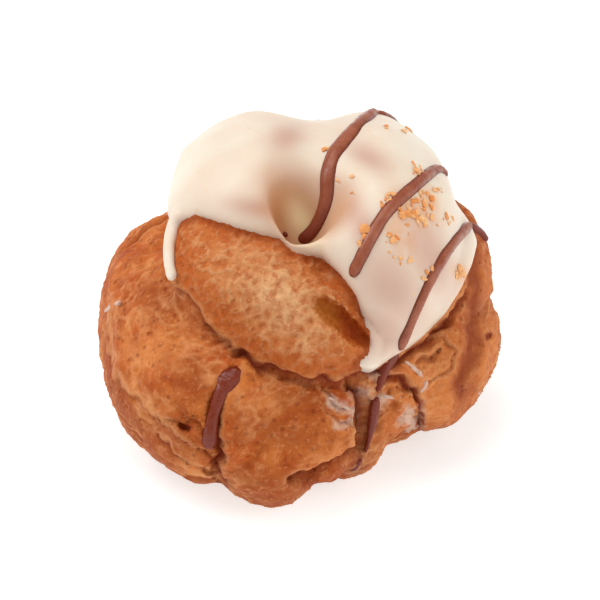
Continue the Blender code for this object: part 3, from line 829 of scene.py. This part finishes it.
baked, tree, shader = new_material("baked_choux", 0.66, 0.24)
place = place_on(tree)
foot = add_node(tree, "ShaderNodeSeparateXYZ", {"Vector": place}).outputs["Z"]
mottle = noise_in(tree, place, 0.0026, 5.0, 0.65)
ragged = worked(tree, "MULTIPLY", worked(tree, "SUBTRACT", noise_in(tree, place, 0.0016), 0.42), 3)
smeared = ranged(tree, worked(tree, "ADD", mask_of(tree, "smear"), ragged), -0.6, 0.9)
skin = add_group(
    tree, baked_skin, patch_size=0.006, fleck_size=0.0008, pock_size=0.0015, wrinkle_size=0.0022
)
crust_colour = layered(
    tree,
    mixed(tree, skin.outputs["Browning"], CRUST_TAN, CRUST_RUST),
    (CRUST_BROWN, ranged(tree, noise_in(tree, place, 0.013), 0.5, 0.68), 0.5),
    (CRUST_SPOT, ranged(tree, mottle, 0.5, 0.6), 0.42),
    (CRUST_FLECK, ranged(tree, mottle, 0.46, 0.36), 0.38),
    # Browner and then dark towards the foot: partly browning from the tray, partly painted shade.
    (CRUST_BROWN, ranged(tree, foot, 0.011, 0.001), 0.7),
    (CRUST_DARK, ranged(tree, foot, 0.009, 0.0), 0.5),
    # Browner ovals: partly browning, partly painted shade. Lighter ovals: partly pale crust, partly painted
    # light.
    (CRUST_BROWN, "toasted", 0.7),
    (CRUST_PALE, "paler_and_lit", 0.65),
    (CRUST_PLUM, "faint_trail", 0.75),
    (CRUST_SPOT, skin.outputs["Pock"], 0.55),
    (CRUST_FLECK, skin.outputs["Fleck"], 0.3),
    # Painted highlight on the crests of the wrinkles.
    (CRUST_FLECK, skin.outputs["Wrinkle"], 0.42),
    (CRUST_TAN, "torn", 0.15),
    # Painted highlight on the ridges of the puckers.
    (CRUST_FLECK, "pucker_highlight", 0.5),
    # Painted highlight along the raised lips of the cracks.
    (CRUST_FLECK, "lip", 0.6),
    (SMEAR_WHITE, smeared, 0.68),
)
sponge = add_group(
    tree, baked_skin, patch_size=0.0035, fleck_size=0.0007, pock_size=0.0012, wrinkle_size=0.0018
)
crumb_colour = layered(
    tree,
    mixed(tree, mask_of(tree, "heart"), CRUMB_GOLD, CRUMB_PALE),
    (CRUMB_GOLD, sponge.outputs["Browning"], 0.45),
    (CRUMB_RUST, sponge.outputs["Pock"], 0.3),
    (CRUMB_RUST, ranged(tree, noise_in(tree, place, 0.0014, 3.0), 0.5, 0.6), 0.55),
    (CRUMB_RUST, "cell", 0.5),
    (CRUMB_PALE, ranged(tree, mask_of(tree, "web"), 0.2, 1.3), 0.38),
    (CRUMB_PALE, sponge.outputs["Fleck"], 0.35),
    (CRUMB_RUST, "border", 0.55),
    (CRUMB_OLIVE, "pocket", 0.8),
    # Painted shade in the right end of the pocket hollow.
    (CRUMB_DARK, "pocket_shade", 0.85),
    (CRUST_BROWN, "crust_rim", 0.85),
)
crumb_mask = mask_of(tree, "crumb")
skin_colour = mixed(tree, crumb_mask, crust_colour, crumb_colour)
# Painted shade in the cracks and small holes, in the crust's darkest colour.
skin_colour = layered(tree, skin_colour, (CRUST_DARK, "crease_shade", 0.95))
tree.links.new(skin_colour, shader.inputs["Base Color"])
crumb_height = worked(tree, "MULTIPLY", sponge.outputs["Wrinkle"], 0.5)
crumb_height = worked(tree, "ADD", crumb_height, noise_in(tree, place, 0.0008, 5.0, 0.6))
heights = {0: crumb_mask, 2: skin.outputs["Height"], 3: crumb_height}
height = add_node(tree, "ShaderNodeMix", heights).outputs[0]
relief = add_node(tree, "ShaderNodeBump", {"Strength": 0.85, "Distance": 0.0006, "Height": height})
tree.links.new(relief.outputs["Normal"], shader.inputs["Normal"])
bun.data.materials.append(baked)

# The icing: a thick white glaze poured over the lid. It set with a rounded edge that tucks in under itself,
# pooled in the hollows, left a small knob on the shoulder and ran down the left side in a thin ribbon.
ICING_LIFT = 0.38 * MM
ICING_THICK = 1.3 * MM
ICING_RIM = 0.9 * MM
ICING_SINK = 0.3 * MM
ICING_VOXEL = 0.33 * MM
UNEVEN_SIZE, UNEVEN_HEIGHT = 5 * MM, 0.35 * MM
POOL_EVENING, DEEPEST_POOL = 40, 0.5 * MM
TUCK_SLOPE, DEEPEST_TUCK = 2.5, 4 * MM
# The ribbon is drawn as the chocolate's trails below are, and then moved aside to the left.
RIBBON = (
    FRONT,
    ((-16.4, 31.6), (-17.5, 29.6), (-18.1, 27.9), (-18.3, 26.2), (-18.4, 24.6), (-18.2, 22.6), (-17.7, 20.9)),
    (3.0, 2.9, 2.5, 2.0, 1.7, 1.7, 1.9), 1.05,
)
RIBBON_ASIDE = 0.7 * MM
KNOB, KNOB_HEIGHT = ((-16.8, 39.2), 1.6, 1.1, 50), 1.0 * MM


def keep_largest(obj):
    """Leaves only the largest of the separate pieces that a mesh is made of."""
    bm = bmesh.new()
    bm.from_mesh(obj.data)
    unseen, pieces = set(bm.verts), []
    while unseen:
        front = [unseen.pop()]
        piece = set(front)
        while front:
            for edge in front.pop().link_edges:
                for vert in edge.verts:
                    if vert in unseen:
                        unseen.discard(vert)
                        piece.add(vert)
                        front.append(vert)
        pieces.append(piece)
    for piece in sorted(pieces, key=len)[:-1]:
        bmesh.ops.delete(bm, geom=list(piece), context="VERTS")
    bm.to_mesh(obj.data)
    bm.free()


points, normals = points_of(icing.data), normals_of(icing.data)
level = np.stack([spread(icing.data, points[:, k], POOL_EVENING) for k in range(3)], axis=1)
pooled = np.clip(((level - points) * normals).sum(axis=1), 0, DEEPEST_POOL)
knob = oval_share(on_sketch(points, FRONT), *KNOB) * smooth_step(facing(normals, FRONT) * 3 + 0.6)
uneven = noise_at(points, UNEVEN_SIZE, 77) * UNEVEN_HEIGHT
full = ICING_THICK + pooled + uneven + knob * KNOB_HEIGHT
poured = full * (1 - np.exp(-inside_icing / ICING_RIM))
tucked = np.maximum(inside_icing * TUCK_SLOPE, -DEEPEST_TUCK)
thick = np.where(inside_icing > 0, poured, tucked)
move_points(icing.data, points + normals * (ICING_LIFT + thick)[:, None])
press_hollow(icing.data, *PIT)
ribbon = add_rope(whole_skin, *RIBBON, 0)
ribbon.location = (-RIBBON_ASIDE, 0, 0)
select_only(icing, ribbon)
bpy.ops.object.join()
add_modifier(icing, "REMESH", mode="VOXEL", voxel_size=ICING_VOXEL)
add_modifier(icing, "SMOOTH", factor=0.5, iterations=4)
apply_modifiers(icing)
points, normals = points_of(under_icing.data), normals_of(under_icing.data)
move_points(under_icing.data, points - normals * ICING_SINK)
add_modifier(icing, "BOOLEAN", operation="DIFFERENCE", object=under_icing, solver="MANIFOLD")
apply_modifiers(icing)
bpy.data.objects.remove(under_icing)
keep_largest(icing)

# Colour on the icing, as soft ovals on a sketch plane: painted shade in the pit and the dent beside it, with
# painted light on the pit's floor, faint tan stains from crumbs and chocolate, and painted pinkish shade on
# the shaded side and in hollows.
PIT_SHADE = (TOP, (-0.6, -3.2), 5.0, 4.6, 50)
PIT_FLOOR_LIGHT = (FRONT, (0.2, 29.2), 3.4, 1.9, -62)
DENT_SHADE = (TOP, (5.6, -4.0), 3.8, 2.6, 70)
TAN_STAINS = (
    (FRONT, (15.4, 27), 4.2, 3, -50), (FRONT, (16.2, 31), 4.2, 2.4, -20),
    (FRONT, (18.6, 32.6), 2.6, 1.4, -60), (FRONT, (23.8, 21.4), 2, 1.2, -40),
)
PINK_SHADES = (
    (FRONT, (-2, 41.5), 3, 2.2, 20), (FRONT, (10, 38.5), 4, 2, -30), (FRONT, (13.5, 19), 7.5, 4.5, -62),
    (FRONT, (19, 24), 8, 3.4, -62), (FRONT, (-6.5, 31), 5, 1.6, -10), (FRONT, (8.4, 29.4), 6, 2.4, -62),
    (FRONT, (12.4, 13.4), 4.5, 4, -62),
)


def shade_of(points, *ovals):
    return np.max([oval_share(on_sketch(points, plane), *oval) for plane, *oval in ovals], axis=0)


points = points_of(icing.data)
before_back = points[:, 1] < 6 * MM
# Painted shade in the pit, and painted light on its floor where the light reaches in.
set_mask(icing.data, "pit", np.minimum(1, 1.5 * shade_of(points, PIT_SHADE)) * before_back)
set_mask(icing.data, "pit_floor_light", shade_of(points, PIT_FLOOR_LIGHT))
set_mask(icing.data, "dent_shade", shade_of(points, DENT_SHADE))
set_mask(icing.data, "tan_stain", shade_of(points, *TAN_STAINS))
set_mask(icing.data, "pink_tint_and_shade", shade_of(points, *PINK_SHADES))
bpy.ops.object.shade_smooth()
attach(icing, "root")
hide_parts("white_icing")

glaze, tree, shader = new_material("white_glaze", 0.42, 0.4)
place = place_on(tree)
cloud = ranged(tree, noise_in(tree, place, 0.010), 0.35, 0.70)
streaky = ranged(tree, noise_in(tree, place, 0.003, 5.0), 0.3, 0.6)
glaze_colour = layered(
    tree,
    mixed(tree, cloud, shown(229, 217, 199), shown(226, 206, 187)),
    (shown(228, 160, 96), worked(tree, "MULTIPLY", mask_of(tree, "tan_stain"), streaky), 0.8),
    # Painted pinkish shade on the icing's shaded side and in its hollows, and the curls' pinkish tint.
    (shown(200, 160, 142), "pink_tint_and_shade", 0.9),
    # Painted shade in the dent beside the pit.
    (shown(208, 160, 124), "dent_shade", 0.75),
    # Painted shade in the pit, then painted light on its floor.
    (shown(186, 114, 54), "pit", 0.85),
    (shown(250, 226, 176), "pit_floor_light", 0.85),
    (shown(224, 186, 130), ranged(tree, noise_in(tree, place, 0.0012, 2.0), 0.68, 0.76), 0.4),
)
tree.links.new(glaze_colour, shader.inputs["Base Color"])
shader.inputs["Subsurface Weight"].default_value = 0.2
shader.inputs["Subsurface Radius"].default_value = (1.0, 0.7, 0.45)
shader.inputs["Subsurface Scale"].default_value = 0.0012
icing.data.materials.clear()
icing.data.materials.append(glaze)

# The chocolate: milk chocolate trailed from a spoon, which set as soft ropes across the icing and the crust.
# A route is dropped straight onto what it lies on. Each trail is its sketch plane, its route, the widths
# along it from start to end, and how far it stands proud.
STRIPES = {
    "first": (
        FRONT,
        ((11.6, 45.6), (10.3, 45.3), (7.1, 41.9), (4.7, 38.9), (3.9, 35.4), (4.1, 32.9), (3, 29.4),
         (1.1, 26.6), (0, 26.5)),
        (2.4, 3.0, 3.1, 3.2, 2.9, 2.5, 1.7), 0.75,
    ),
    "second": (
        FRONT,
        ((21.6, 36), (20.9, 37.6), (19.2, 36.5), (16, 33.7), (12.7, 30.8), (10.8, 27.8), (8.9, 24),
         (7.6, 21.4)),
        (1.8, 2.2, 2.2, 2.2, 2.1, 2.1, 2.0), 0.65,
    ),
    "third": (
        FRONT,
        ((25.6, 28.2), (24.6, 28.6), (23.2, 27), (21.3, 24.5), (19.4, 21.5), (17.9, 18.4), (16.8, 15.9),
         (15.7, 13.2), (14.6, 10.4)),
        (1.7, 2.1, 2.2, 2.2, 2.3, 2.3, 2.2, 2.0), 0.65,
    ),
    "dot": (FRONT, ((-2.5, 27.5), (-1.8, 27)), (1.2, 1.0), 0.4),
    "first_behind": (
        BACK, ((-11.5, 22.5), (-13.6, 19), (-15.5, 14.5), (-16.2, 11)), (2.0, 2.2, 2.1, 1.2), 0.7,
    ),
    "back": (BACK, ((-3, 18.2), (-1.4, 16), (0.3, 13), (2, 9.4)), (1.3, 2.0, 2.2, 1.9, 1.0), 0.6),
    "back_left": (BACK, ((8, 19.4), (9.6, 17.4), (11.2, 15), (12, 11.6)), (1.3, 2.0, 2.1, 1.9, 1.0), 0.6),
}
DRIPS = {
    "cleft": (FRONT, ((-10, 7.4), (-10.5, 6.2), (-11.8, 3.4), (-12.8, 0.6), (-13.3, -3.8)),
              (3.2, 3.8, 3.5, 2.8, 2.2, 1.9, 1.8, 2.1, 2.5, 2.6, 2.3), 0.62),
    "cleft_head": (FRONT, ((-8.9, 7.9), (-9.5, 6.4), (-10.4, 4.6)), (2.4, 3.2, 2.8, 1.6), 0.6),
    "right_link": (FRONT, ((14.4, 10.4), (13.2, 8.9), (12.2, 7), (11.4, 4.6)), (2.2, 2.1, 1.8, 1.1), 0.4),
    "right": (FRONT, ((11.3, 3.4), (11, 0.4), (10.3, -2.6), (9.6, -4.6)), (1.3, 1.7, 1.5, 0.9, 0.6), 0.26),
    "right_end": (FRONT, ((9.1, -5.6), (7.8, -7.6)), (1.1, 1.7, 1.5), 0.25),
    "rim": (FRONT, ((25.0, 28.7), (26.6, 28.4), (27.6, 26.8)), (1.8, 1.9, 1.5), 0.6),
}
TRAIL_VOXEL = 0.2 * MM


def add_trails(name, routes, tree):
    """Ropes laid on a surface, grown into one mesh, with how far they stand proud noted for a painted shade
    along their edges and a painted highlight along their tops.
    """
    trails = [add_rope(tree, *route, seed * 3.7) for seed, route in enumerate(routes.values())]
    joined = join_pieces(name, trails)
    add_modifier(joined, "REMESH", mode="VOXEL", voxel_size=TRAIL_VOXEL)
    add_modifier(joined, "SMOOTH", factor=0.5, iterations=9)
    apply_modifiers(joined)
    proud = np.array([tree.find_nearest(v.co)[3] for v in joined.data.vertices])
    set_mask(joined.data, "proud_for_sheen_and_shade", proud / MM)
    bpy.ops.object.shade_smooth()
    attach(joined, "root")
    return joined


icing_skin = surface_tree(icing)
stripes = add_trails("chocolate_stripes", STRIPES, icing_skin)
# Painted shade: the stripes go dark where they run into the pit.
set_mask(stripes.data, "darker_and_shaded", shade_of(points_of(stripes.data), PIT_SHADE))
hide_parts("white_icing")
drips = add_trails("chocolate_drips", DRIPS, whole_skin)
# The drips are dark all over: partly their own colour, partly painted shade.
set_mask(drips.data, "darker_and_shaded", np.ones(len(drips.data.vertices)))
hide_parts("choux_bun")

chocolate, tree, shader = new_material("milk_chocolate", 0.38, 0.32)
place = place_on(tree)
cloud = ranged(tree, noise_in(tree, place, 0.003), 0.3, 0.7)
chocolate_colour = layered(
    tree,
    mixed(tree, cloud, shown(156, 88, 62), shown(138, 68, 44)),
    # Painted shade along the low edges, and a painted highlight along the top of each rope.
    (shown(100, 36, 18), ranged(tree, mask_of(tree, "proud_for_sheen_and_shade"), 0.42, 0.08), 0.8),
    (shown(178, 116, 90), ranged(tree, mask_of(tree, "proud_for_sheen_and_shade"), 0.5, 0.85), 0.4),
    # Painted shade in the pit, and the drips' dark colour.
    (shown(110, 28, 2), "darker_and_shaded", 0.82),
)
tree.links.new(chocolate_colour, shader.inputs["Base Color"])
grain = noise_in(tree, place, 0.0009)
tree.links.new(ranged(tree, grain, 0.3, 0.7, 0.62), shader.inputs["Roughness"])
relief = add_node(tree, "ShaderNodeBump", {"Strength": 0.15, "Distance": 0.0002, "Height": grain})
tree.links.new(relief.outputs["Normal"], shader.inputs["Normal"])
for trail in (stripes, drips):
    trail.data.materials.append(chocolate)

# Curls of icing: thin shreds that caught on the torn crust as the glaze was poured, and a few small marks of
# it on the sides of the lobes. They are drawn and laid as the chocolate is.
CURLS = {
    "long_curl": (FRONT, ((15.1, 8.6), (16.4, 8.2), (17.4, 7.2), (17.9, 6.4)), (0.5, 0.7, 0.9, 0.5), 0.25),
    "short_curl": (FRONT, ((18.6, 6.0), (18.4, 4.9), (17.6, 4.1)), (0.6, 1.0, 0.6), 0.25),
    "under_streak": (FRONT, ((11.8, 3.8), (13.2, 3.2), (14.8, 3.5)), (0.6, 0.9, 0.6), 0.2),
    "rim_mark": (FRONT, ((25.6, 4.5), (26.8, 3.7)), (0.8, 0.9, 0.6), 0.2),
    "left_mark": (FRONT, ((-28.8, 15.9), (-27.9, 16.9), (-26.7, 17.2)), (0.9, 1.3, 1.0), 0.35),
    "flake_edge": (FRONT, ((4, 3.6), (5.6, 2.8), (7.8, 1.4)), (0.5, 0.8, 0.5), 0.2),
}
CURL_SWELL_SIZE, CURL_SWELL_HEIGHT = 0.9 * MM, 0.3 * MM
curls = add_trails("icing_curls", CURLS, surface_tree(bun))
# The curls take this pinkish colour all over.
set_mask(curls.data, "pink_tint_and_shade", np.ones(len(curls.data.vertices)))
swell(curls.data, CURL_SWELL_SIZE, CURL_SWELL_HEIGHT, 91)
curls.data.materials.append(glaze)

# Toasted crumbs: flakes of crust that fell on the icing while it was wet, most of them along the second
# stripe. Each place is a middle on the front's sketch plane, how far they lie from it and how many there are.
CRUMB_PLACES = (
    ((16.8, 31), 2.6, 46), ((13.4, 32.6), 1.2, 14), ((17.4, 36.6), 1.0, 10), ((18.6, 33.6), 1.8, 14),
    ((15.7, 42.6), 0.9, 7), ((3.8, 39.8), 0.4, 3), ((7.8, 33.1), 0.3, 2), ((9.3, 27.9), 0.6, 4),
    ((8.8, 25.9), 0.3, 2), ((13.2, 27), 1.0, 6), ((18.5, 21.2), 0.9, 6), ((23.2, 21.4), 0.9, 9),
    ((21.9, 29.2), 0.9, 5), ((12.6, 43.6), 0.5, 2), ((14, 24), 2.2, 6), ((5.4, 36), 1.2, 3),
)
CRUMB_SCATTER = 0.6
CRUMB_SIZE, CRUMB_SIZE_SPREAD, LARGEST_CRUMB = 0.6, 0.45, 1.5
CRUMB_ROUGHNESS = 0.55
draw = random.Random(8)


def add_crumb(size, tone):
    """One crumb: a rough lump, with how toasted it is noted for its colour."""
    bpy.ops.mesh.primitive_ico_sphere_add(subdivisions=2, radius=0.5 * size * MM)
    lump = bpy.context.object
    seed = Vector((draw.uniform(0, 90), draw.uniform(0, 90), 0))
    for vert in lump.data.vertices:
        vert.co *= 1 + CRUMB_ROUGHNESS * noise.noise(vert.co.normalized() * 1.3 + seed)
    set_mask(lump.data, "tone", np.full(len(lump.data.vertices), tone))
    return lump


across, up, into = sketch_axes(FRONT)
crumb_pieces = []
for middle, reach, count in CRUMB_PLACES:
    for _ in range(count):
        aside = draw.gauss(middle[0], CRUMB_SCATTER * reach) * MM
        start = across * aside + up * draw.gauss(middle[1], CRUMB_SCATTER * reach) * MM
        size = min(LARGEST_CRUMB, CRUMB_SIZE * math.exp(draw.gauss(0, CRUMB_SIZE_SPREAD)))
        tone, spin = draw.random(), draw.uniform(0, 2 * math.pi)
        point, normal, _, _ = icing_skin.ray_cast(Vector(start - into * 0.2), Vector(into))
        if point is None:
            continue
        piece = add_crumb(size, tone)
        piece.location = point + normal * 0.12 * size * MM
        piece.rotation_euler = (normal.to_track_quat("Z", "Y") @ Quaternion((0, 0, 1), spin)).to_euler()
        piece.scale = (draw.uniform(0.9, 1.5), draw.uniform(0.6, 1.0), draw.uniform(0.3, 0.55))
        crumb_pieces.append(piece)
toasted_crumbs = join_pieces("toasted_crumbs", crumb_pieces)
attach(toasted_crumbs, "root")

crumb_stuff, tree, shader = new_material("toasted_crumb", 0.75, 0.25)
crumb_tone = mixed(tree, mask_of(tree, "tone"), shown(222, 140, 72), shown(238, 192, 140))
grain = ranged(tree, noise_in(tree, place_on(tree), 0.0004), 0.5, 0.7)
crumb_tone = layered(tree, crumb_tone, (shown(196, 104, 40), grain, 0.5))
tree.links.new(crumb_tone, shader.inputs["Base Color"])
toasted_crumbs.data.materials.append(crumb_stuff)
